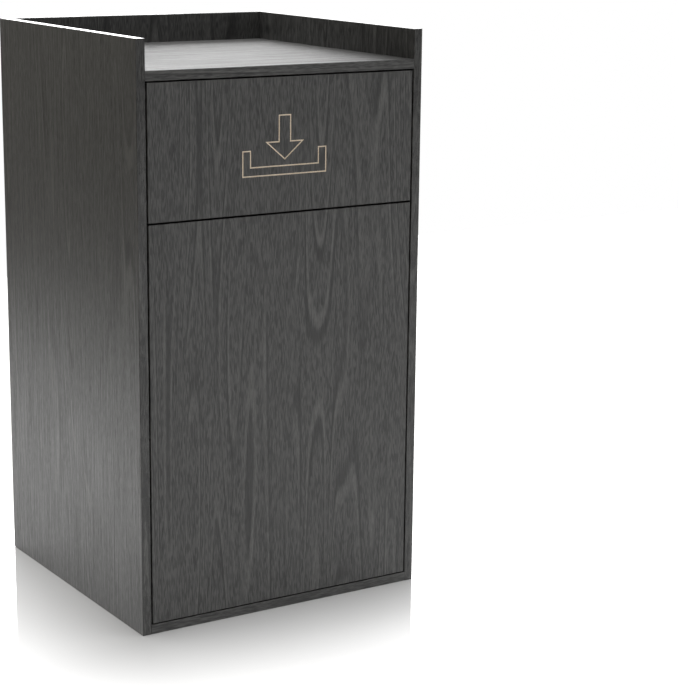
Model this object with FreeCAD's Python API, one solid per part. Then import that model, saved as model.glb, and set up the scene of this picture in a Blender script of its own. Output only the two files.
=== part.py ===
import FreeCAD, Part
import math
import os

from FreeCAD import Vector

# A free-standing litter cabinet of melamine board: two sides, a back, a bottom and a recessed top
# that makes a shallow tray, with a push-in flap above a door on concealed hinges.
# Frame: x to the right, y to the back, z up, origin on the floor at the middle of the footprint.

# Driving dimensions of the boards, in millimetres
cabinet_width = 600.0
cabinet_depth = 590.0
cabinet_height = 1090.0
board = 18.0
tray_depth = 56.0
flap_height = 246.5
side_reveal = 3.0
flap_top_reveal = 3.0
flap_door_reveal = 3.5
door_bottom_reveal = 2.0
band = 1.0
band_bevel = 0.6

# Fasteners repeat many times, so their round stretches are drawn with a few flat sides
hidden_fastener_sides = 6
screw_sides = 10
cam_sides = 16
bush_sides = 16

# Cam fittings, their bolts and the dowels beside them
cam_diameter = 15.0
cam_depth = 13.5
cam_from_side = 34.0
cam_clearance = 0.1
bolt_diameter = 6.0
bolt_neck_diameter = 4.0
bolt_head_length = 3.5
bolt_short_of_cam_axis = 2.0
bolt_in_side = 11.0
bolt_hole_diameter = 8.0
dowel_diameter = 8.0
dowel_in_side = 10.0
dowel_in_board = 20.0
dowel_clearance = 0.05
hole_end_room = 0.5
shelf_cam_setback = 110.0
shelf_dowel_offset = 64.0
back_cam_from_floor = 95.0
back_cam_under_tray = 431.0
back_dowel_above_cam = 245.0

# Flap pivots
pivot_drop = 17.5
pivot_pin_diameter = 6.0
pivot_pin_in_flap = 22.0
pivot_pin_in_bush = 8.0
pivot_running_clearance = 0.05
bush_barrel_diameter = 9.0
bush_barrel_length = 10.0
bush_flange_diameter = 14.0
bush_flange_thickness = 1.2

# Magnetic catch and strike plate
catch_under_door_top = 113.0
catch_axis_from_side = 11.0
catch_base_height = 46.0
catch_base_depth = 22.0
catch_base_thickness = 2.5
catch_core_height = 26.0
catch_core_projection = 18.0
catch_core_depth = 16.0
catch_wall = 1.5
catch_corner_radius = 3.0
catch_air_gap = 0.3
pole_thickness = 1.2
pole_proud = 0.6
strike_width = 12.0
strike_height = 50.0
strike_thickness = 1.5
strike_corner_radius = 4.0

# Wood screws of the catch, the strike plate and the hinge cups
screw_diameter = 3.5
screw_length = 14.0
screw_head_diameter = 6.6
screw_head_height = 2.0

# Concealed hinges of the door
hinge_end_distance = 100.0
cup_diameter = 35.0
cup_depth = 12.5
cup_wall = 0.8
cup_from_edge = 3.5
cup_bore_clearance = 0.1
cup_rim = 1.1
flange_thickness = 1.2
wing_height = 62.0
wing_width = 14.0
wing_offset = 6.0
wing_corner_radius = 4.5
cup_screw_pitch = 48.0
hinge_pin_diameter = 2.5
hinge_pin_from_edge = 14.0
hinge_running_clearance = 0.05
hinge_pin_seat = 3.0
knuckle_wall = 1.0
knuckle_floor_gap = 0.35
arm_side_gap = 0.4
arm_end_gap = 0.6
pocket_behind_pin = 5.0
arm_thickness = 2.2
arm_width = 16.0
neck_radius = 19.3
neck_bend = 5.0
arm_end_setback = 62.0
plate_setback = 39.0
plate_height = 7.4
plate_wing_height = 48.0
plate_wing_width = 15.0
plate_wing_thickness = 3.0
plate_corner_radius = 5.0
plate_screw_pitch = 32.0
rail_length = 44.0
rail_width = 13.0
rail_chamfer = 2.5
arm_screw_diameter = 5.0
arm_screw_pitch = 22.0
arm_screw_head_diameter = 8.0
arm_screw_head_height = 2.4
arm_screw_end_room = 1.0

# Faces that the boards share
inner_half = cabinet_width / 2 - board
front = -cabinet_depth / 2
back = cabinet_depth / 2
back_inner = back - board
tray_top = cabinet_height - tray_depth
tray_under = tray_top - board
door_inner = front + board
flap_top = tray_under - flap_top_reveal
flap_bottom = flap_top - flap_height
door_top = flap_bottom - flap_door_reveal
door_bottom = board + door_bottom_reveal
leaf_half = inner_half - side_reveal
pivot_y = front + board / 2
pivot_z = flap_top - pivot_drop
catch_height = door_top - catch_under_door_top

X = Vector(1, 0, 0)
Y = Vector(0, 1, 0)
Z = Vector(0, 0, 1)
left = -1
right = 1


def block(low, high):
    """A box between two corners."""
    size = Vector(*high) - Vector(*low)
    return Part.makeBox(size.x, size.y, size.z, Vector(*low))


def rod(diameter, start, direction, length):
    """A round bar from a point along a direction."""
    return Part.makeCylinder(diameter / 2, length, start, direction)


def flat_face(corners):
    return Part.Face(Part.makePolygon(corners + corners[:1]))


def faceted_ring(diameter, centre, direction, sides):
    """The corners of a regular outline round a point, square to a direction."""
    turn = FreeCAD.Rotation(Z, direction)
    corners = []
    for index in range(sides):
        angle = 2 * math.pi * (index + 0.5) / sides
        spoke = turn.multVec(Vector(math.cos(angle), math.sin(angle), 0))
        corners.append(centre + spoke * (diameter / 2))
    return corners


def faceted_rod(diameter, start, direction, length, sides=hidden_fastener_sides):
    """A bar with flat sides from a point along a direction."""
    return flat_face(faceted_ring(diameter, start, direction, sides)).extrude(direction * length)


def faceted_cone(start_diameter, end_diameter, start, direction, length, sides):
    """A tapered bar with flat sides from a point along a direction."""
    near = faceted_ring(start_diameter, start, direction, sides)
    far = faceted_ring(end_diameter, start + direction * length, direction, sides)
    faces = [flat_face(near), flat_face(far)]
    for index in range(sides):
        faces.append(flat_face([near[index - 1], near[index], far[index], far[index - 1]]))
    return Part.Solid(Part.Shell(faces))


def band_strip(low, high, outward):
    """An edge band: a thin strip whose two long outer corners are trimmed to a bevel."""
    strip = block(low, high)
    centre = strip.BoundBox.Center
    reach = (strip.BoundBox.DiagonalLength + band) * outward
    outer_face = min(strip.Faces, key=lambda face: (face.CenterOfMass - centre - reach).Length)
    long_edges = sorted(outer_face.Edges, key=lambda edge: edge.Length)[-2:]
    return strip.makeChamfer(band_bevel, long_edges)


def countersunk_screw(start, direction, length=screw_length):
    """A flat-head wood screw; start is the middle of its head's top, direction points into the wood."""
    head = faceted_cone(screw_head_diameter, screw_diameter, start, direction, screw_head_height, screw_sides)
    neck = start + direction * screw_head_height
    shank = faceted_rod(screw_diameter, neck, direction, length - screw_head_height, screw_sides)
    return head.fuse(shank).removeSplitter()


def save(name, shape):
    shape.exportStep("parts/" + name + ".step")


def group(shapes):
    return Part.makeCompound(shapes)


os.makedirs("parts", exist_ok=True)


# Corner joints
# A cam fitting pulls a bolt that is screwed into a side panel. Each board end also has dowels.
def cam_joint(side, face_point, into):
    """The cam, its bolt, the holes they need in the board and the hole in the side panel."""
    outward = X * side
    axis = face_point + into * (board / 2)
    board_end = Vector(side * inner_half, axis.y, axis.z)
    cam = faceted_rod(cam_diameter, face_point, into, cam_depth, cam_sides)
    mouth = faceted_rod(bolt_hole_diameter, axis - outward * (bolt_hole_diameter / 2), outward, cam_diameter)
    cam = cam.cut(mouth)
    bolt_in_board = cam_from_side - bolt_short_of_cam_axis - 2 * bolt_head_length
    bolt_tip = board_end + outward * bolt_in_side
    shank = faceted_rod(bolt_diameter, bolt_tip, -outward, bolt_in_side + bolt_in_board)
    neck_start = board_end - outward * bolt_in_board
    neck = faceted_rod(bolt_neck_diameter, neck_start, -outward, bolt_head_length)
    head = faceted_rod(bolt_diameter, neck_start - outward * bolt_head_length, -outward, bolt_head_length)
    bolt = shank.multiFuse([neck, head]).removeSplitter()
    bore_diameter = cam_diameter + 2 * cam_clearance
    cam_bore = faceted_rod(bore_diameter, face_point, into, cam_depth + cam_clearance, cam_sides)
    bolt_bore = faceted_rod(bolt_hole_diameter, board_end, -outward, cam_from_side + bolt_hole_diameter / 2)
    side_bore = faceted_rod(bolt_diameter, board_end, outward, bolt_in_side + hole_end_room)
    return cam, bolt, [cam_bore, bolt_bore], side_bore


def dowel_joint(side, y, z):
    """A dowel across the joint, its hole in the board's end and its hole in the side panel."""
    outward = X * side
    board_end = Vector(side * inner_half, y, z)
    hole_diameter = dowel_diameter + 2 * dowel_clearance
    dowel_start = board_end - outward * dowel_in_board
    dowel = faceted_rod(dowel_diameter, dowel_start, outward, dowel_in_board + dowel_in_side)
    board_hole = faceted_rod(hole_diameter, board_end, -outward, dowel_in_board + hole_end_room)
    side_hole = faceted_rod(hole_diameter, board_end, outward, dowel_in_side + hole_end_room)
    return dowel, board_hole, side_hole


class Joinery:
    """The fittings of one board and the holes that they need."""

    def __init__(self):
        self.cams = []
        self.bolts = []
        self.dowels = []
        self.board_holes = []

    def add_cam(self, side, face_point, into):
        cam, bolt, board_holes, side_hole = cam_joint(side, face_point, into)
        self.cams.append(cam)
        self.bolts.append(bolt)
        self.board_holes += board_holes
        side_holes[side].append(side_hole)

    def add_dowel(self, side, y, z):
        dowel, board_hole, side_hole = dowel_joint(side, y, z)
        self.dowels.append(dowel)
        self.board_holes.append(board_hole)
        side_holes[side].append(side_hole)

    def save(self, name):
        save(name + "_cams", group(self.cams))
        save(name + "_cam_bolts", group(self.bolts))
        save(name + "_dowels", group(self.dowels))


side_holes = {left: [], right: []}


def shelf_joinery(face_z, into, middle_z):
    """Joints of a level board: two cams and two dowels at each end."""
    joinery = Joinery()
    for side in (left, right):
        cam_x = side * (inner_half - cam_from_side)
        for cam_y in (front + shelf_cam_setback, back_inner - shelf_cam_setback):
            joinery.add_cam(side, Vector(cam_x, cam_y, face_z), into)
        for inwards, cam_y in ((1, front + shelf_cam_setback), (-1, back_inner - shelf_cam_setback)):
            joinery.add_dowel(side, cam_y + inwards * shelf_dowel_offset, middle_z)
    return joinery


bottom_joinery = shelf_joinery(board, -Z, board / 2)
top_joinery = shelf_joinery(tray_under, Z, tray_under + board / 2)

back_joinery = Joinery()
for side in (left, right):
    cam_x = side * (inner_half - cam_from_side)
    for cam_z in (back_cam_from_floor, tray_under - back_cam_under_tray):
        back_joinery.add_cam(side, Vector(cam_x, back_inner, cam_z), Y)
        back_joinery.add_dowel(side, back - board / 2, cam_z + back_dowel_above_cam)

bottom_joinery.save("bottom_panel")
top_joinery.save("top_panel")
back_joinery.save("back_panel")


# Level boards and back
bottom_panel = block((-inner_half, front + band, 0), (inner_half, back_inner, board))
save("bottom_panel", bottom_panel.cut(bottom_joinery.board_holes))
save("bottom_panel_edge_band", band_strip((-inner_half, front, 0), (inner_half, front + band, board), -Y))

top_panel = block((-inner_half, front + band, tray_under), (inner_half, back_inner, tray_top))
save("top_panel", top_panel.cut(top_joinery.board_holes))
top_band = band_strip((-inner_half, front, tray_under), (inner_half, front + band, tray_top), -Y)
save("top_panel_edge_band", top_band)

back_panel = block((-inner_half, back_inner, 0), (inner_half, back, cabinet_height - band))
save("back_panel", back_panel.cut(back_joinery.board_holes))
back_band_low = (-inner_half, back_inner, cabinet_height - band)
save("back_panel_edge_band", band_strip(back_band_low, (inner_half, back, cabinet_height), Z))


# Flap
def banded_leaf(low_z, high_z):
    """A front leaf between two heights: its board and the four bands round it."""
    core = block((-leaf_half + band, front, low_z + band), (leaf_half - band, door_inner, high_z - band))
    bands = []
    for side in (left, right):
        outer = side * leaf_half
        inner = side * (leaf_half - band)
        low = (min(outer, inner), front, low_z)
        high = (max(outer, inner), door_inner, high_z)
        bands.append(band_strip(low, high, X * side))
    for up, low in ((-1, low_z), (1, high_z - band)):
        level_low = (-leaf_half + band, front, low)
        level_high = (leaf_half - band, door_inner, low + band)
        bands.append(band_strip(level_low, level_high, Z * up))
    return core, bands


flap_core, flap_bands = banded_leaf(flap_bottom, flap_top)

# Flap pivots
# A steel pin with a knurled shank is pressed into each end of the flap. Its round end turns in a
# flanged bush in the side panel.
for side, hand in ((left, "left"), (right, "right")):
    outward = X * side
    flap_end = Vector(side * leaf_half, pivot_y, pivot_z)
    panel_face = Vector(side * inner_half, pivot_y, pivot_z)
    knurled = faceted_rod(pivot_pin_diameter, flap_end, -outward, pivot_pin_in_flap)
    journal = rod(pivot_pin_diameter, flap_end, outward, side_reveal + pivot_pin_in_bush)
    save("flap_pivot_pin_" + hand, journal.fuse(knurled))
    flap_core = flap_core.cut(knurled)
    flap_bands = [strip.cut(knurled) for strip in flap_bands]
    barrel = faceted_rod(bush_barrel_diameter, panel_face, outward, bush_barrel_length)
    flange = faceted_rod(bush_flange_diameter, panel_face, -outward, bush_flange_thickness, bush_sides)
    bore_diameter = pivot_pin_diameter + 2 * pivot_running_clearance
    bore_length = bush_flange_thickness + pivot_pin_in_bush + hole_end_room
    bore = rod(bore_diameter, panel_face - outward * bush_flange_thickness, outward, bore_length)
    save("flap_pivot_bush_" + hand, barrel.fuse(flange).removeSplitter().cut(bore))
    side_holes[side].append(barrel)

save("flap_panel", flap_core)
save("flap_edge_bands", group(flap_bands))


# Magnetic catch on the right side panel
# A moulded housing holds a magnet between two steel poles that meet a strike plate on the door.
catch_x = inner_half - catch_axis_from_side
catch_front = door_inner + strike_thickness + catch_air_gap + pole_proud
core_half = catch_core_height / 2
base_half = catch_base_height / 2
catch_core = block((inner_half - catch_core_projection, catch_front, catch_height - core_half),
                   (inner_half, catch_front + catch_core_depth, catch_height + core_half))
core_corners = [edge for edge in catch_core.Edges
                if edge.BoundBox.YLength > catch_wall and edge.BoundBox.XMax < inner_half - catch_wall]
catch_core = catch_core.makeFillet(catch_corner_radius, core_corners)
catch_base = block((inner_half - catch_base_thickness, catch_front, catch_height - base_half),
                   (inner_half, catch_front + catch_base_depth, catch_height + base_half))
pocket_half = catch_core_projection - catch_axis_from_side - catch_wall
pocket_back = catch_front + catch_core_depth - catch_wall
pocket_low = catch_height - core_half + catch_wall
pocket_high = catch_height + core_half - catch_wall
pocket = block((catch_x - pocket_half, catch_front, pocket_low),
               (catch_x + pocket_half, pocket_back, pocket_high))
magnet_half = pocket_half - pole_thickness
magnet = block((catch_x - magnet_half, catch_front, pocket_low),
               (catch_x + magnet_half, pocket_back, pocket_high))
poles = []
for side in (left, right):
    inner = catch_x + side * magnet_half
    outer = catch_x + side * pocket_half
    poles.append(block((min(inner, outer), catch_front - pole_proud, pocket_low),
                       (max(inner, outer), pocket_back, pocket_high)))
catch_screws = []
for up in (-1, 1):
    screw_z = catch_height + up * (core_half + base_half) / 2
    screw_y = catch_front + catch_base_depth / 2
    start = Vector(inner_half - catch_base_thickness, screw_y, screw_z)
    catch_screws.append(countersunk_screw(start, X))
catch_body = catch_core.fuse(catch_base).removeSplitter().cut([pocket] + catch_screws)
side_holes[right] += catch_screws
save("catch_body", catch_body)
save("catch_magnet", magnet)
save("catch_pole_plates", group(poles))
save("catch_screws", group(catch_screws))

strike_half = strike_height / 2
strike = block((catch_x - strike_width / 2, door_inner, catch_height - strike_half),
               (catch_x + strike_width / 2, door_inner + strike_thickness, catch_height + strike_half))
strike_ends = [edge for edge in strike.Edges if edge.BoundBox.YLength > strike_thickness / 2]
strike = strike.makeFillet(strike_corner_radius, strike_ends)
strike_screws = []
for up in (-1, 1):
    screw_z = catch_height + up * (strike_half - strike_width / 2)
    start = Vector(catch_x, door_inner + strike_thickness, screw_z)
    strike_screws.append(countersunk_screw(start, -Y))
save("strike_plate", strike.cut(strike_screws))
save("strike_screws", group(strike_screws))


# Door
door_core, door_bands = banded_leaf(door_bottom, door_top)
door_core = door_core.cut(strike_screws)

# Concealed hinges
# A goose-neck arm on the left side panel reaches into a cup in the door and turns there on one pin.
# Plan positions are measured from that pin: u to the right, v to the back.
door_left = -leaf_half
knuckle_diameter = hinge_pin_diameter + 2 * knuckle_wall
hinge_pin_depth = cup_depth - cup_wall - knuckle_floor_gap - knuckle_diameter / 2
pin_x = door_left + hinge_pin_from_edge
pin_y = door_inner - hinge_pin_depth
cup_x = door_left + cup_from_edge + cup_diameter / 2
run_u = -inner_half + plate_height + arm_thickness / 2 - pin_x
run_end_v = arm_end_setback + hinge_pin_depth


def neck_path(z):
    """The middle line of the arm: out of the cup, round the door's edge and back along the side panel."""
    def at(u, v):
        return Vector(pin_x + u, pin_y + v, z)

    def polar(radius, angle, centre_u=0.0, centre_v=0.0):
        return at(centre_u + radius * math.cos(angle), centre_v + radius * math.sin(angle))

    bend_u = math.sqrt((neck_radius - neck_bend) ** 2 - neck_bend ** 2)
    neck_start = math.atan2(neck_bend, bend_u)
    neck_end = math.acos((run_u + neck_bend) / (neck_radius + neck_bend))
    back_bend_u = run_u + neck_bend
    back_bend_v = (neck_radius + neck_bend) * math.sin(neck_end)
    cup_run_end = at(bend_u, 0)
    first_turn = polar(neck_bend, (neck_start - math.pi / 2) / 2, bend_u, neck_bend)
    neck_low = polar(neck_radius, neck_start)
    neck_middle = polar(neck_radius, (neck_start + neck_end) / 2)
    neck_high = polar(neck_radius, neck_end)
    last_turn = polar(neck_bend, (neck_end + 2 * math.pi) / 2, back_bend_u, back_bend_v)
    back_run_start = at(run_u, back_bend_v)
    edges = [
        Part.LineSegment(at(0, 0), cup_run_end),
        Part.Arc(cup_run_end, first_turn, neck_low),
        Part.Arc(neck_low, neck_middle, neck_high),
        Part.Arc(neck_high, last_turn, back_run_start),
        Part.LineSegment(back_run_start, at(run_u, run_end_v)),
    ]
    return Part.Wire([edge.toShape() for edge in edges])


def hinge_arm(z):
    """A pressed strip bent to the goose neck, with a rolled knuckle for the pin at its end."""
    half_width = arm_width / 2
    half_thickness = arm_thickness / 2
    corners = [Vector(pin_x, pin_y + dv, z + dz) for dv, dz in (
        (-half_thickness, -half_width), (half_thickness, -half_width),
        (half_thickness, half_width), (-half_thickness, half_width))]
    section = Part.makePolygon(corners + corners[:1])
    strip = neck_path(z).makePipeShell([section], True, False)
    knuckle_low = Vector(pin_x, pin_y, z - half_width)
    knuckle = rod(knuckle_diameter, knuckle_low, Z, arm_width)
    eye = rod(hinge_pin_diameter + 2 * hinge_running_clearance, knuckle_low, Z, arm_width)
    return strip.fuse(knuckle).removeSplitter().cut(eye)


def hinge_pin(z):
    """A pin across the cup's pocket; its ends are held in the pocket's side walls."""
    half_length = arm_width / 2 + arm_side_gap + hinge_pin_seat
    return rod(hinge_pin_diameter, Vector(pin_x, pin_y, z - half_length), Z, 2 * half_length)


def hinge_cup(z):
    """A cast cup with a pocket for the arm, and a flange and two screw wings that lie on the door."""
    mouth = Vector(cup_x, door_inner, z)
    shell = rod(cup_diameter, mouth, -Y, cup_depth)
    rim = rod(cup_diameter + 2 * cup_rim, mouth, Y, flange_thickness)
    wing_x = cup_x + wing_offset
    wing = block((wing_x - wing_width / 2, door_inner, z - wing_height / 2),
                 (wing_x + wing_width / 2, door_inner + flange_thickness, z + wing_height / 2))
    wing_corners = [edge for edge in wing.Edges if edge.BoundBox.YLength > flange_thickness / 2]
    wing = wing.makeFillet(wing_corner_radius, wing_corners)
    pocket_half = arm_width / 2 + arm_side_gap
    pocket_right = pin_x + neck_radius + arm_thickness / 2 + arm_end_gap
    pocket = block((pin_x - pocket_behind_pin, door_inner - cup_depth + cup_wall, z - pocket_half),
                   (pocket_right, door_inner + flange_thickness, z + pocket_half))
    return shell.multiFuse([rim, wing]).removeSplitter().cut(pocket)


def cup_screws(z):
    wing_x = cup_x + wing_offset
    face_y = door_inner + flange_thickness
    return [countersunk_screw(Vector(wing_x, face_y, z + up * cup_screw_pitch / 2), -Y) for up in (-1, 1)]


def hinge_plate(z):
    """A cross-shaped mounting plate: a raised rail for the arm and two screw wings."""
    face = -inner_half
    middle = door_inner + plate_setback
    wings = block((face, middle - plate_wing_width / 2, z - plate_wing_height / 2),
                  (face + plate_wing_thickness, middle + plate_wing_width / 2, z + plate_wing_height / 2))
    wing_corners = [edge for edge in wings.Edges if edge.BoundBox.XLength > plate_wing_thickness / 2]
    wings = wings.makeFillet(plate_corner_radius, wing_corners)
    rail = block((face, middle - rail_length / 2, z - rail_width / 2),
                 (face + plate_height, middle + rail_length / 2, z + rail_width / 2))
    rail_edges = [edge for edge in rail.Edges
                  if edge.BoundBox.XMin > face + plate_height / 2 and edge.BoundBox.ZLength > rail_width / 2]
    rail = rail.makeChamfer(rail_chamfer, rail_edges)
    return wings.fuse(rail).removeSplitter()


def plate_screws(z):
    face = -inner_half + plate_wing_thickness
    middle = door_inner + plate_setback
    return [countersunk_screw(Vector(face, middle, z + up * plate_screw_pitch / 2), -X) for up in (-1, 1)]


def arm_screws(z):
    """Two machine screws: one clamps the arm to its plate, the other sets the door's place sideways."""
    arm_face = -inner_half + plate_height + arm_thickness
    middle = door_inner + plate_setback
    screws = []
    for offset in (-arm_screw_pitch / 2, arm_screw_pitch / 2):
        start = Vector(arm_face, middle + offset, z)
        head = faceted_rod(arm_screw_head_diameter, start, X, arm_screw_head_height, screw_sides)
        shank_length = arm_thickness + plate_height - arm_screw_end_room
        shank = faceted_rod(arm_screw_diameter, start, -X, shank_length, screw_sides)
        screws.append(head.fuse(shank).removeSplitter())
    return screws


for height, place in ((door_top - hinge_end_distance, "upper"), (door_bottom + hinge_end_distance, "lower")):
    pin = hinge_pin(height)
    in_cup = cup_screws(height)
    in_panel = plate_screws(height)
    in_arm = arm_screws(height)
    save("hinge_pin_" + place, pin)
    save("hinge_cup_" + place, hinge_cup(height).cut([pin] + in_cup))
    save("hinge_cup_screws_" + place, group(in_cup))
    save("hinge_arm_" + place, hinge_arm(height).cut(in_arm))
    save("hinge_plate_" + place, hinge_plate(height).cut(in_panel + in_arm))
    save("hinge_plate_screws_" + place, group(in_panel))
    save("hinge_arm_screws_" + place, group(in_arm))
    bore_mouth = Vector(cup_x, door_inner, height)
    cup_bore = rod(cup_diameter + 2 * cup_bore_clearance, bore_mouth, -Y, cup_depth + cup_bore_clearance)
    door_core = door_core.cut([cup_bore] + in_cup)
    side_holes[left] += in_panel

save("door_panel", door_core)
save("door_edge_bands", group(door_bands))


# Side panels
# They stand on the floor and run the full depth and height; the other boards sit between them.
for side, hand in ((left, "left"), (right, "right")):
    inner = side * inner_half
    outer = side * cabinet_width / 2
    low_x = min(inner, outer)
    high_x = max(inner, outer)
    core = block((low_x, front + band, 0), (high_x, back - band, cabinet_height - band))
    save(hand + "_side_panel", core.cut(side_holes[side]))
    bands = [
        band_strip((low_x, front, 0), (high_x, front + band, cabinet_height), -Y),
        band_strip((low_x, back - band, 0), (high_x, back, cabinet_height), Y),
        band_strip((low_x, front + band, cabinet_height - band), (high_x, back - band, cabinet_height), Z),
    ]
    save(hand + "_side_edge_bands", group(bands))
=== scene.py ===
import math

import bmesh
import bpy
from mathutils import Euler, Matrix, Vector


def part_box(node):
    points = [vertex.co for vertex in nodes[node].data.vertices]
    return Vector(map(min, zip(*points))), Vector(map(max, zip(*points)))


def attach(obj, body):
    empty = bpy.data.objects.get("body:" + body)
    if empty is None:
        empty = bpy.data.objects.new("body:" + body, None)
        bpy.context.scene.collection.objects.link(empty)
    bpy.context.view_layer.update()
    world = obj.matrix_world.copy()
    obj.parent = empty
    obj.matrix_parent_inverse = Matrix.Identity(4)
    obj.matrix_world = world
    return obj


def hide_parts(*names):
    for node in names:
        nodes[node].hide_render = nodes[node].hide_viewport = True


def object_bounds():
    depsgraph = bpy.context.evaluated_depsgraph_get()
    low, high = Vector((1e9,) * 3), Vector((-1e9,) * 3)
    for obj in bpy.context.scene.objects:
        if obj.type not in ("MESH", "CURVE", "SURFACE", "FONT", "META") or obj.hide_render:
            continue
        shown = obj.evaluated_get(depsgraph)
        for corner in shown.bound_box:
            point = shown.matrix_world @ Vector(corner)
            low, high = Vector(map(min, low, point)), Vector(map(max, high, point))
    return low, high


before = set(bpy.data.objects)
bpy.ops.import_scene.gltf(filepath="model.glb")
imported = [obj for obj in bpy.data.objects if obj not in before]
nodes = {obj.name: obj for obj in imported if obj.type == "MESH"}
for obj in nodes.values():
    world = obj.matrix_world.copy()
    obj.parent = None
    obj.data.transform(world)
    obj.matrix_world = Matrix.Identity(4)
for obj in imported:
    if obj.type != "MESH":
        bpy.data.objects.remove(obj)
cad_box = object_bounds()
MM = 0.001


# Side panels
# Two boards of 18 mm particle board faced with black oak melamine, a printed paper pressed with a pore
# texture. They stand on the floor at full height and carry every other board on cam bolts and dowels.
def linear(hex_colour):
    """An sRGB hex colour as linear RGBA."""
    levels = [int(hex_colour[start:start + 2], 16) / 255 for start in (1, 3, 5)]
    return [level / 12.92 if level <= 0.04045 else ((level + 0.055) / 1.055) ** 2.4
            for level in levels] + [1.0]


def add_node(tree, kind, inputs=None, output=0, **settings):
    """Adds a node with its settings, joins or sets its inputs, and returns one of its outputs."""
    node = tree.nodes.new(kind)
    for name, value in settings.items():
        setattr(node, name, value)
    for socket, value in (inputs or {}).items():
        if isinstance(value, bpy.types.NodeSocket):
            tree.links.new(value, node.inputs[socket])
        else:
            node.inputs[socket].default_value = value
    return node.outputs[output]


def new_material(name):
    """An empty material, its node tree, its surface shader and its Object coordinates."""
    material = bpy.data.materials.new(name)
    material.use_nodes = True
    tree = material.node_tree
    place = add_node(tree, "ShaderNodeTexCoord", output="Object")
    return material, tree, tree.nodes["Principled BSDF"], place


def stretched(along, across_mm, along_mm):
    """Pattern scale for features that are this wide across the grain and this long along it."""
    return [1 / (along_mm * MM) if axis == along else 1 / (across_mm * MM) for axis in "XYZ"]


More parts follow.
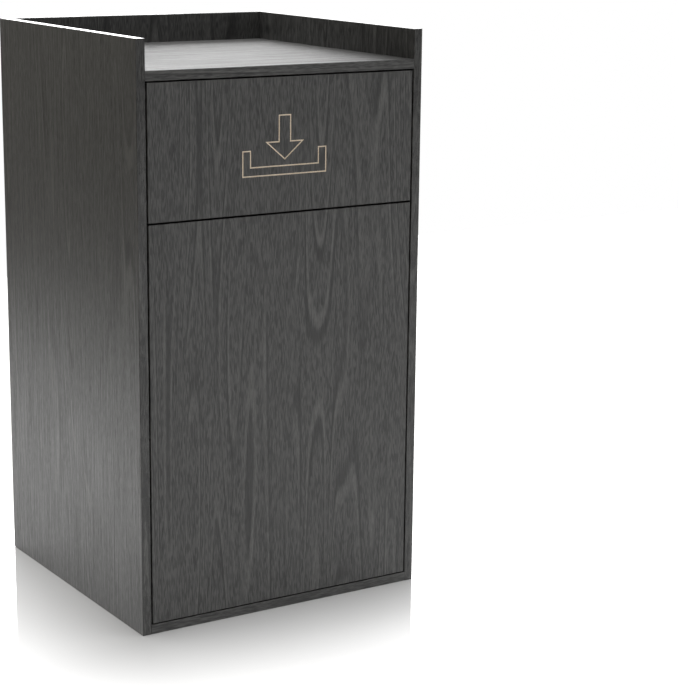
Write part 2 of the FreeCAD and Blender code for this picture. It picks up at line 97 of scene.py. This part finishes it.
def oak_print(name, along, roughness, dark="#1e1e1e", light="#424241", level_above=None):
    """A black oak print: year lines in tall flames, fleck marks with painted shade, and pores along one
    axis.
    """
    material, tree, shader, place = new_material(name)
    shader.inputs["IOR"].default_value = 1.5
    if level_above is not None:
        # What lies above this height is a level strip, so there an upright print turns to run along Y.
        height = add_node(tree, "ShaderNodeSeparateXYZ", {0: place}, output="Z")
        on_top = add_node(tree, "ShaderNodeMath", {0: height, 1: level_above}, operation="GREATER_THAN")
        turned = add_node(tree, "ShaderNodeMapping", {"Vector": place, "Rotation": (math.pi / 2, 0, 0)})
        place = add_node(tree, "ShaderNodeMix", {0: on_top, 4: place, 5: turned}, output=1,
                         data_type="VECTOR")

    def grain(across_mm, along_mm, low=0.0, high=1.0, detail=1.0, aside_mm=0.0):
        """Noise drawn out along the grain and moved aside, with low to high spread over 0 to 1."""
        aside = [0.0 if axis == along else aside_mm / across_mm for axis in "XYZ"]
        mapped = add_node(tree, "ShaderNodeMapping", {
            "Vector": place, "Location": aside, "Scale": stretched(along, across_mm, along_mm)})
        noise = add_node(tree, "ShaderNodeTexNoise", {"Vector": mapped, "Scale": 1.0, "Detail": detail})
        return add_node(tree, "ShaderNodeMapRange", {"Value": noise, "From Min": low, "From Max": high})

    def over(colour, pattern, share, top):
        """Lays a second colour over a first one where the pattern is high."""
        weight = add_node(tree, "ShaderNodeMath", {0: pattern, 1: share}, operation="MULTIPLY")
        return add_node(tree, "ShaderNodeMix", {0: weight, 6: colour, 7: top}, output=2, data_type="RGBA")

    # Year lines are the contours of a slow noise, so they close into tall nested flames. Each dark line
    # has a light one beside it, and both fade out in places.
    lines_per_flame = 11.0
    crest_start = 0.75
    light_line_lag = 1.2
    flame = grain(across_mm=64, along_mm=1150, detail=0.0)
    turn = add_node(tree, "ShaderNodeMath", {0: flame, 1: lines_per_flame * math.tau},
                    operation="MULTIPLY")
    broken = grain(across_mm=55, along_mm=380, low=0.32, high=0.58)

    def year_lines(lag):
        """The crests of the contours, moved on by an angle."""
        later = add_node(tree, "ShaderNodeMath", {0: turn, 1: lag}, operation="ADD")
        wave = add_node(tree, "ShaderNodeMath", {0: later}, operation="SINE")
        crests = add_node(tree, "ShaderNodeMapRange", {
            "Value": wave, "From Min": crest_start, "From Max": 1.0})
        return add_node(tree, "ShaderNodeMath", {0: crests, 1: broken}, operation="MULTIPLY")

    dark_lines = year_lines(lag=0.0)
    light_lines = year_lines(lag=light_line_lag)
    # A fleck is a noise less its moved copy, so it is a light line beside a dark one: the printed fleck
    # with a painted highlight and a painted shade of its emboss. Real flecks and pores are under 0.5 mm
    # wide, too fine for the render, so here they are about 1.5 mm.
    fleck_width_mm = 1.4
    fleck_length_mm = 16
    fleck_shade_range = 0.12
    pressed = grain(fleck_width_mm, fleck_length_mm, detail=0.5)
    beside = grain(fleck_width_mm, fleck_length_mm, detail=0.5, aside_mm=1.5)
    relief_shade = add_node(tree, "ShaderNodeMath", {0: pressed, 1: beside}, operation="SUBTRACT")
    flecks_and_relief_shade = add_node(tree, "ShaderNodeMapRange", {
        "Value": relief_shade, "From Min": -fleck_shade_range, "From Max": fleck_shade_range})
    pores = grain(across_mm=1.5, along_mm=14, low=0.56, high=0.66)
    sheen_streaks = grain(across_mm=5, along_mm=200, low=0.35, high=0.65, detail=2.0)
    # The print's two tones follow the flecks, so this colour holds their painted highlight and shade.
    colour = over(linear(dark), flecks_and_relief_shade, share=1.0, top=linear(light))
    # Painted sheen: the streaks are laid a little paler, standing in for their stronger reflection.
    colour = over(colour, sheen_streaks, share=0.16, top=linear("#4c4c4a"))
    colour = over(colour, light_lines, share=0.4, top=linear("#5e5e5c"))
    colour = over(colour, dark_lines, share=0.75, top=linear("#131313"))
    colour = over(colour, pores, share=0.4, top=linear("#141414"))
    tree.links.new(colour, shader.inputs["Base Color"])
    # Streaks along the grain are smoother than the rest of the face; their paler colour is a painted
    # sheen.
    streak_gloss = 0.08
    gloss = add_node(tree, "ShaderNodeMapRange", {
        "Value": sheen_streaks, "To Min": roughness + streak_gloss, "To Max": roughness - streak_gloss})
    tree.links.new(gloss, shader.inputs["Roughness"])
    pore_depth = 0.4 * MM
    bump = add_node(tree, "ShaderNodeBump", {"Height": pores, "Strength": 0.3, "Distance": pore_depth},
                    invert=True)
    tree.links.new(bump, shader.inputs["Normal"])
    return material


def dress(material, *names):
    """Gives CAD nodes a finish."""
    for name in names:
        nodes[name].data.materials.clear()
        nodes[name].data.materials.append(material)


# Melamine pressed against a pored plate: near black, satin, greying where it is seen at a low angle.
oak_upright = oak_print("melamine_pressed_upright", along="Z", roughness=0.38)
dress(oak_upright, "left_side_panel", "right_side_panel")


# Bottom, tray top and back
# The same board between the sides. The bottom carries the litter can, the top lies 56 mm below the
# rims as a place for serving trays, and the back closes the body up to the rims.
# The tray's plate was pressed with a deeper texture, so it is duller and spreads the light from behind.
oak_level = oak_print("melamine_pressed_level", along="X", roughness=0.5, dark="#252525", light="#3c3c3b")
dress(oak_level, "bottom_panel", "top_panel")
dress(oak_upright, "back_panel")


# Edge bands
# Strips of 1 mm ABS with the same print, glued on each cut edge that shows and trimmed at the corners.
# The bands of the sides are buffed after trimming, so their tops flash white; the level ones are duller.
band_level = oak_print("abs_band_trimmed", along="X", roughness=0.45)
side_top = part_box("left_side_panel")[1][2]
band_upright = oak_print("abs_band_buffed", along="Z", roughness=0.18, dark="#060606", light="#363635",
                         level_above=side_top)
band_rim = oak_print("abs_band_buffed_level", along="X", roughness=0.3, dark="#141414", light="#2a2a2a")
dress(band_level, "bottom_panel_edge_band", "top_panel_edge_band")
dress(band_rim, "back_panel_edge_band")
dress(band_upright, "left_side_edge_bands", "right_side_edge_bands")


# Cam fittings, their bolts and the dowels
# Die-cast eccentrics, flush in the boards, with a cross recess for the driver. They pull on steel bolts
# that are screwed into the sides. Beech dowels beside them keep the boards in line.
def mottled(name, light, dark, spot_mm, metallic, smooth, rough):
    """A finish whose colour and gloss vary in soft spots of a given size."""
    material, tree, shader, place = new_material(name)
    shader.inputs["Metallic"].default_value = metallic
    spots = add_node(tree, "ShaderNodeTexNoise", {
        "Vector": place, "Scale": 1 / (spot_mm * MM), "Detail": 3.0})
    amount = add_node(tree, "ShaderNodeMapRange", {"Value": spots, "From Min": 0.3, "From Max": 0.7})
    colour = add_node(tree, "ShaderNodeMix", {
        0: amount, 6: linear(dark), 7: linear(light)}, output=2, data_type="RGBA")
    tree.links.new(colour, shader.inputs["Base Color"])
    gloss = add_node(tree, "ShaderNodeMapRange", {"Value": amount, "To Min": rough, "To Max": smooth})
    tree.links.new(gloss, shader.inputs["Roughness"])
    spot_height = 0.1 * MM
    bump = add_node(tree, "ShaderNodeBump", {"Height": spots, "Strength": 0.12, "Distance": spot_height})
    tree.links.new(bump, shader.inputs["Normal"])
    return material


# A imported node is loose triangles, so corners that lie this close are merged first.
merge_distance = 0.001 * MM


def face_points(node, facing):
    """The middle of the outer face of each solid in a node that groups like fasteners."""
    shape = bmesh.new()
    shape.from_mesh(nodes[node].data)
    bmesh.ops.remove_doubles(shape, verts=shape.verts, dist=merge_distance)
    points = []
    for first in shape.verts:
        if first.tag:
            continue
        first.tag = True
        solid = [first]
        for vertex in solid:
            for edge in vertex.link_edges:
                other = edge.other_vert(vertex)
                if not other.tag:
                    other.tag = True
                    solid.append(other)
        low = Vector([min(vertex.co[axis] for vertex in solid) for axis in range(3)])
        high = Vector([max(vertex.co[axis] for vertex in solid) for axis in range(3)])
        half = (high - low) / 2
        points.append((low + high) / 2 + Vector([half[axis] * facing[axis] for axis in range(3)]))
    shape.free()
    return points


# The head starts at its face and narrows into the board; a cross is cut out of the face.
head_sides = 32
head_sizes = ("Face Radius", "Foot Radius", "Height", "Recess Length", "Recess Width", "Recess Depth")
head_tree = bpy.data.node_groups.new("fastener_heads", "GeometryNodeTree")
head_tree.interface.new_socket("Points", in_out="INPUT", socket_type="NodeSocketGeometry")
for size_name in head_sizes:
    head_tree.interface.new_socket(size_name, in_out="INPUT", socket_type="NodeSocketFloat")
head_tree.interface.new_socket("Finish", in_out="INPUT", socket_type="NodeSocketMaterial")
head_tree.interface.new_socket("Heads", in_out="OUTPUT", socket_type="NodeSocketGeometry")
given = head_tree.nodes.new("NodeGroupInput").outputs
body_of_head = add_node(head_tree, "GeometryNodeMeshCone", {
    "Vertices": head_sides, "Radius Bottom": given["Face Radius"], "Radius Top": given["Foot Radius"],
    "Depth": given["Height"]})
twice_deep = add_node(head_tree, "ShaderNodeMath", {0: given["Recess Depth"], 1: 2.0},
                      operation="MULTIPLY")
level_slot = add_node(head_tree, "ShaderNodeCombineXYZ", {
    0: given["Recess Length"], 1: given["Recess Width"], 2: twice_deep})
upright_slot = add_node(head_tree, "ShaderNodeCombineXYZ", {
    0: given["Recess Width"], 1: given["Recess Length"], 2: twice_deep})
slotted = add_node(head_tree, "GeometryNodeMeshBoolean", {
    "Mesh 1": body_of_head, "Mesh 2": add_node(head_tree, "GeometryNodeMeshCube", {"Size": level_slot})},
    operation="DIFFERENCE")
crossed = add_node(head_tree, "GeometryNodeMeshBoolean", {
    "Mesh 1": slotted, "Mesh 2": add_node(head_tree, "GeometryNodeMeshCube", {"Size": upright_slot})},
    operation="DIFFERENCE")
into_board = add_node(head_tree, "GeometryNodeInputNamedAttribute", {"Name": "into"},
                      data_type="FLOAT_VECTOR")
aimed = add_node(head_tree, "FunctionNodeAlignRotationToVector", {"Vector": into_board}, axis="Z")
placed = add_node(head_tree, "GeometryNodeInstanceOnPoints", {
    "Points": given["Points"], "Instance": crossed, "Rotation": aimed})
joined = add_node(head_tree, "GeometryNodeRealizeInstances", {"Geometry": placed})
finished = add_node(head_tree, "GeometryNodeSetMaterial", {
    "Geometry": joined, "Material": given["Finish"]})
head_tree.links.new(finished, head_tree.nodes.new("NodeGroupOutput").inputs["Heads"])


def fastener_heads(name, body, slot, finish, facings, **sizes):
    """One mesh of heads with cross recesses, at the faces of the solids that it stands for."""
    points = []
    into = []
    for node, facing in facings.items():
        for point in face_points(node, facing):
            points.append(point)
            into += [-part for part in facing]
    seats = bpy.data.meshes.new(name + "_seats")
    seats.from_pydata(points, [], [])
    seats.attributes.new("into", "FLOAT_VECTOR", "POINT").data.foreach_set("vector", into)
    maker = bpy.data.objects.new(name + "_maker", seats)
    bpy.context.scene.collection.objects.link(maker)
    modifier = maker.modifiers.new("heads", "NODES")
    modifier.node_group = head_tree
    for socket in head_tree.interface.items_tree:
        size_key = socket.name.lower().replace(" ", "_")
        if size_key in sizes:
            modifier[socket.identifier] = sizes[size_key]
        elif socket.name == "Finish":
            modifier[socket.identifier] = finish
    shown = maker.evaluated_get(bpy.context.evaluated_depsgraph_get())
    heads = bpy.data.objects.new(name, bpy.data.meshes.new_from_object(shown))
    bpy.data.objects.remove(maker)
    bpy.context.scene.collection.objects.link(heads)
    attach(heads, body)
    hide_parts(*facings)


# Die-cast zinc is dull and cloudy; zinc-plated steel is brighter and slightly blue.
zinc = mottled("zinc_die_cast", light="#e4e4e1", dark="#c2c2bf", spot_mm=3.0, metallic=1.0,
               smooth=0.65, rough=0.8)
plated_steel = mottled("steel_zinc_plated", light="#bfc1c2", dark="#8f9193", spot_mm=4.0, metallic=1.0,
                       smooth=0.25, rough=0.4)
fastener_heads(
    "cam_heads", "carcass", "zinc_cam", zinc,
    {"bottom_panel_cams": (0, 0, 1), "top_panel_cams": (0, 0, -1), "back_panel_cams": (0, -1, 0)},
    face_radius=7.4 * MM, foot_radius=7.4 * MM, height=4.5 * MM,
    recess_length=8.0 * MM, recess_width=1.8 * MM, recess_depth=2.0 * MM)
dress(plated_steel, "bottom_panel_cam_bolts", "top_panel_cam_bolts", "back_panel_cam_bolts")
# Turned beech is pale and matt with short darker flecks.
beech = mottled("beech_turned", light="#d8b489", dark="#b98f63", spot_mm=2.0, metallic=0.0,
                smooth=0.65, rough=0.8)
dress(beech, "bottom_panel_dowels", "top_panel_dowels", "back_panel_dowels")


# Flap
# A leaf of the same board with bands on its four edges. It hangs on two steel pins in nylon bushes. A
# sign, an arrow into an open tray, is routed through the print as an outline, down to the pale board.
groove_width = 2.8 * MM
groove_floor_width = 1.6 * MM
groove_depth = 1.8 * MM
tray_half_width = 88 * MM
tray_height = 46 * MM
tray_wall = 16 * MM
sign_half_height = 54 * MM
arrow_tip = -26 * MM
arrow_head_height = 32 * MM
arrow_head_half_width = 38 * MM
arrow_shaft_half_width = 12 * MM


def mirrored(points):
    """Completes the right half of an outline with its mirror image."""
    return points + [(-x, z) for x, z in reversed(points) if x]


def groove_cutter(outline, centre, face):
    """A closed ring with sloping walls that follows an outline on the front face."""
    rings = []
    for across, into in ((groove_width, -groove_depth), (groove_floor_width, groove_depth)):
        for side in (-0.5, 0.5):
            ring = []
            for before, here, after in zip(outline[-1:] + outline, outline, outline[1:] + outline[:1]):
                first = (Vector(here) - Vector(before)).normalized()
                second = (Vector(after) - Vector(here)).normalized()
                mitre = Vector((-first.y - second.y, first.x + second.x))
                mitre *= side * across / (1 + first.dot(second))
                ring.append((centre.x + here[0] + mitre.x, face + into, centre.z + here[1] + mitre.y))
            rings.append(ring)
    shape = bmesh.new()
    corners = [[shape.verts.new(point) for point in ring] for ring in rings]
    for one, other in ((0, 1), (1, 3), (3, 2), (2, 0)):
        for step in range(len(outline)):
            shape.faces.new((corners[one][step - 1], corners[one][step],
                             corners[other][step], corners[other][step - 1]))
    bmesh.ops.recalc_face_normals(shape, faces=shape.faces)
    mesh = bpy.data.meshes.new("groove_cutter")
    shape.to_mesh(mesh)
    shape.free()
    return mesh


tray_outline = mirrored([
    (tray_half_width - tray_wall, tray_wall - sign_half_height),
    (tray_half_width - tray_wall, tray_height - sign_half_height),
    (tray_half_width, tray_height - sign_half_height),
    (tray_half_width, -sign_half_height)])
arrow_outline = mirrored([
    (arrow_shaft_half_width, sign_half_height),
    (arrow_shaft_half_width, arrow_tip + arrow_head_height),
    (arrow_head_half_width, arrow_tip + arrow_head_height),
    (0, arrow_tip)])

# Routed particle board is pale, dry and speckled.
routed_board = mottled("particle_board_routed", light="#f6eee2", dark="#dccdb9", spot_mm=1.5,
                       metallic=0.0, smooth=0.8, rough=0.95)
flap_low, flap_high = [Vector(corner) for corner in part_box("flap_panel")]
flap_middle = (flap_low + flap_high) / 2
flap_shape = bmesh.new()
flap_shape.from_mesh(nodes["flap_panel"].data)
bmesh.ops.remove_doubles(flap_shape, verts=flap_shape.verts, dist=merge_distance)
flap_mesh = bpy.data.meshes.new("flap_board")
flap_shape.to_mesh(flap_mesh)
flap_shape.free()
flap_mesh.materials.append(oak_upright)
flap_mesh.materials.append(routed_board)
flap_maker = bpy.data.objects.new("flap_maker", flap_mesh)
bpy.context.scene.collection.objects.link(flap_maker)
cutters = []
for outline in (tray_outline, arrow_outline):
    cutter = bpy.data.objects.new("groove_cutter", groove_cutter(outline, flap_middle, flap_low.y))
    cutter.data.materials.append(routed_board)
    bpy.context.scene.collection.objects.link(cutter)
    cutters.append(cutter)
    cut = flap_maker.modifiers.new("groove", "BOOLEAN")
    cut.operation = "DIFFERENCE"
    cut.solver = "EXACT"
    cut.material_mode = "TRANSFER"
    cut.object = cutter
flap_shown = flap_maker.evaluated_get(bpy.context.evaluated_depsgraph_get())
flap_board = bpy.data.objects.new("flap_board", bpy.data.meshes.new_from_object(flap_shown))
for scaffold in cutters + [flap_maker]:
    bpy.data.objects.remove(scaffold)
bpy.context.scene.collection.objects.link(flap_board)
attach(flap_board, "flap")
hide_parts("flap_panel")
# Bands that are scraped flush with the leaf are nearly as satin as its face.
leaf_band = oak_print("abs_band_scraped", along="Z", roughness=0.4)
dress(leaf_band, "flap_edge_bands")
dress(plated_steel, "flap_pivot_pin_left", "flap_pivot_pin_right")
# Moulded black nylon has a soft sheen and a faint grain from the mould.
nylon = mottled("nylon_moulded_black", light="#2c2c2c", dark="#1e1e1e", spot_mm=0.8, metallic=0.0,
                smooth=0.4, rough=0.5)
dress(nylon, "flap_pivot_bush_left", "flap_pivot_bush_right")


# Door
# The large front leaf of the same board, banded all round, on two concealed hinges at its left edge.
dress(oak_upright, "door_panel")
dress(leaf_band, "door_edge_bands")


# Concealed hinges
# Nickel-plated goose-neck arms that turn on a pin in a cast cup and are screwed to cross plates. The
# cups are pressed into the door and held by two screws, the plates by two screws in the left side.
# Satin nickel plating is warm and pale, with broad soft reflections.
nickel = mottled("steel_nickel_plated", light="#ece8de", dark="#cfcbc0", spot_mm=6.0, metallic=1.0,
                 smooth=0.36, rough=0.46)
for level in ("upper", "lower"):
    dress(nickel, "hinge_cup_" + level, "hinge_arm_" + level, "hinge_plate_" + level)
    dress(plated_steel, "hinge_pin_" + level)
wood_screw_head = {
    "face_radius": 3.3 * MM, "foot_radius": 1.75 * MM, "height": 2.0 * MM,
    "recess_length": 3.9 * MM, "recess_width": 0.9 * MM, "recess_depth": 1.2 * MM}
fastener_heads(
    "hinge_cup_screw_heads", "door", "zinc_plated_steel", plated_steel,
    {"hinge_cup_screws_upper": (0, 1, 0), "hinge_cup_screws_lower": (0, 1, 0)}, **wood_screw_head)
fastener_heads(
    "hinge_plate_screw_heads", "carcass", "zinc_plated_steel", plated_steel,
    {"hinge_plate_screws_upper": (1, 0, 0), "hinge_plate_screws_lower": (1, 0, 0)}, **wood_screw_head)
fastener_heads(
    "hinge_arm_screw_heads", "carcass", "zinc_plated_steel", plated_steel,
    {"hinge_arm_screws_upper": (1, 0, 0), "hinge_arm_screws_lower": (1, 0, 0)},
    face_radius=3.6 * MM, foot_radius=4.0 * MM, height=2.4 * MM,
    recess_length=5.0 * MM, recess_width=1.1 * MM, recess_depth=1.4 * MM)


# Magnetic catch and strike plate
# A white moulded housing with a ferrite magnet between two pole plates, screwed to the right side, and
# a plated plate on the door that the poles pull on.
# Moulded white ABS is softly glossy; ferrite is dark and gritty; the strike's plating is pale and clear.
white_plastic = mottled("abs_moulded_white", light="#e9e7e0", dark="#d8d5cc", spot_mm=0.6, metallic=0.0,
                        smooth=0.35, rough=0.45)
ferrite = mottled("ferrite_sintered", light="#3a3a3c", dark="#29292b", spot_mm=0.5, metallic=0.0,
                  smooth=0.55, rough=0.7)
pale_plate = mottled("steel_zinc_plated_clear", light="#ece8da", dark="#cfcabb", spot_mm=5.0,
                     metallic=1.0, smooth=0.25, rough=0.38)
dress(white_plastic, "catch_body")
dress(ferrite, "catch_magnet")
dress(plated_steel, "catch_pole_plates")
dress(pale_plate, "strike_plate")
fastener_heads(
    "catch_screw_heads", "carcass", "zinc_plated_steel", plated_steel, {"catch_screws": (-1, 0, 0)},
    **wood_screw_head)
fastener_heads(
    "strike_screw_heads", "door", "zinc_plated_steel", plated_steel, {"strike_screws": (0, 1, 0)},
    **wood_screw_head)


# Floor
# A white acrylic table, lit from below and polished round the cabinet's foot, which mirrors in it and
# fades out.
floor_left = -1.2
floor_right = 9.0
floor_front = -7.0
floor_back = 3.0
floor_gap = 0.5 * MM
table_glow = 0.2
floor_mesh = bpy.data.meshes.new("floor")
floor_mesh.from_pydata(
    [(floor_left, floor_front, 0), (floor_right, floor_front, 0), (floor_right, floor_back, 0),
     (floor_left, floor_back, 0)], [], [(0, 1, 2, 3)])
floor = bpy.data.objects.new("floor", floor_mesh)
bpy.context.scene.collection.objects.link(floor)
floor.location.z = -floor_gap
floor_paint, floor_tree, floor_shader, floor_place = new_material("acrylic_polished_white")
floor_shader.inputs["Base Color"].default_value = linear("#f4f4f4")
floor_shader.inputs["Roughness"].default_value = 0.9
floor_shader.inputs["Specular IOR Level"].default_value = 0.0
floor_shader.inputs["Emission Color"].default_value = linear("#ffffff")
floor_shader.inputs["Emission Strength"].default_value = table_glow
half_foot = (cad_box[1][0], cad_box[1][1], 0.0)
polish_reach = 0.30
foot_mirror = 0.59
spread = add_node(floor_tree, "ShaderNodeVectorMath", {0: floor_place}, operation="ABSOLUTE")
beyond = add_node(floor_tree, "ShaderNodeVectorMath", {0: spread, 1: half_foot}, operation="SUBTRACT")
outside = add_node(floor_tree, "ShaderNodeVectorMath", {0: beyond, 1: (0, 0, 0)}, operation="MAXIMUM")
away = add_node(floor_tree, "ShaderNodeVectorMath", {0: outside}, output="Value", operation="LENGTH")
polish = add_node(floor_tree, "ShaderNodeMapRange", {
    "Value": away, "From Max": polish_reach, "To Min": foot_mirror, "To Max": 0.0})
mirror = add_node(floor_tree, "ShaderNodeBsdfGlossy", {"Color": linear("#ffffff"), "Roughness": 0.03})
# Only the eye sees the mirror. The cabinet's sides reflect the plain white of the table.
seen_directly = add_node(floor_tree, "ShaderNodeLightPath", output="Is Camera Ray")
shown = add_node(floor_tree, "ShaderNodeMath", {0: polish, 1: seen_directly}, operation="MULTIPLY")
surface = add_node(floor_tree, "ShaderNodeMixShader", {0: shown, 1: floor_shader.outputs[0], 2: mirror})
floor_tree.links.new(surface, floor_tree.nodes["Material Output"].inputs["Surface"])
floor_mesh.materials.append(floor_paint)


# Light
# A pale room that is dimmer on the left, but for its horizon, soft light from straight above and a bright
# backdrop that the tray mirrors. Small lamps brighten the left rim, the table beside it and the tray.
world = bpy.data.worlds.new("studio")
bpy.context.scene.world = world
world.use_nodes = True
room_tree = world.node_tree
direction = add_node(room_tree, "ShaderNodeTexCoord", output="Generated")
upwards = add_node(room_tree, "ShaderNodeSeparateXYZ", {0: direction}, output="Z")
from_level = add_node(room_tree, "ShaderNodeMath", {0: upwards}, operation="ABSOLUTE")
haze_height = 0.14
haze = add_node(room_tree, "ShaderNodeMapRange", {
    "Value": from_level, "From Min": haze_height, "From Max": 0.0})
left_wall = add_node(room_tree, "ShaderNodeMix", {
    0: haze, 6: linear("#75716a"), 7: linear("#d2cec1")}, output=2, data_type="RGBA")
sideways = add_node(room_tree, "ShaderNodeSeparateXYZ", {0: direction}, output="X")
dim_side_end = -0.5
pale_side_start = 0.2
from_left = add_node(room_tree, "ShaderNodeMapRange", {
    "Value": sideways, "From Min": dim_side_end, "From Max": pale_side_start})
walls = add_node(room_tree, "ShaderNodeMix", {
    0: from_left, 6: left_wall, 7: linear("#bcbcbc")}, output=2, data_type="RGBA")
seen = add_node(room_tree, "ShaderNodeLightPath", output="Is Camera Ray")
room = add_node(room_tree, "ShaderNodeMix", {
    0: seen, 6: walls, 7: linear("#ffffff")}, output=2, data_type="RGBA")
room_tree.links.new(room, room_tree.nodes["Background"].inputs["Color"])


def add_light(name, kind, place, aim, **settings):
    """A light at a place, aimed at a point, that the camera doesn't see."""
    data = bpy.data.lights.new(name, kind)
    for key, value in settings.items():
        setattr(data, key, value)
    light = bpy.data.objects.new(name, data)
    bpy.context.scene.collection.objects.link(light)
    light.location = place
    light.rotation_euler = (Vector(aim) - Vector(place)).to_track_quat("-Z", "Y").to_euler()
    light.visible_camera = False


add_light("top_light", "SUN", place=(0, 0, 4), aim=(0, 0, 0), energy=2.3, angle=math.radians(50))
add_light("backdrop", "AREA", place=(2.6, 3.4, 2.2), aim=(2.6, 0, 2.2), energy=122.0,
          shape="RECTANGLE", size=4.6, size_y=3.6)
add_light("edge_light", "AREA", place=(1.25, 3.3, 1.35), aim=(1.25, 0, 1.35), energy=7.0,
          shape="RECTANGLE", size=0.9, size_y=0.6)
add_light("table_light", "AREA", place=(-1.1, 0.8, 1.5), aim=(-1.1, 0.8, 0), energy=6.0,
          shape="RECTANGLE", size=0.8, size_y=2.2, spread=math.radians(80))
add_light("tray_light", "AREA", place=(-0.25, 0.1, 2.6), aim=(0.12, 0.12, 1.05), energy=1.5,
          shape="RECTANGLE", size=0.4, size_y=0.4, spread=math.radians(30))
add_light("tray_back_light", "AREA", place=(0.93, 1.67, 2.3), aim=(0.05, 0.1, 1.05), energy=0.16,
          shape="RECTANGLE", size=0.4, size_y=0.4, spread=math.radians(30))
bpy.context.scene.view_settings.view_transform = "Standard"


# Camera
# It stands where the photograph was taken from, left of the cabinet and a little above it.
focal_length_px = 1955.7
image_height_px = 689
sensor_mm = 36.0
camera_place = (-1.8249, -3.3376, 1.3416)
degrees_down = 13.08
degrees_right = 32.621
degrees_rolled = 0.609
camera_data = bpy.data.cameras.new("camera")
camera_data.sensor_width = sensor_mm
camera_data.lens = focal_length_px * sensor_mm / image_height_px
camera = bpy.data.objects.new("camera", camera_data)
bpy.context.scene.collection.objects.link(camera)
turned = Euler((math.radians(90 - degrees_down), 0, math.radians(-degrees_right))).to_matrix()
rolled = Matrix.Rotation(math.radians(degrees_rolled), 3, "Z")
camera.matrix_world = Matrix.Translation(camera_place) @ (turned @ rolled).to_4x4()
bpy.context.scene.camera = camera
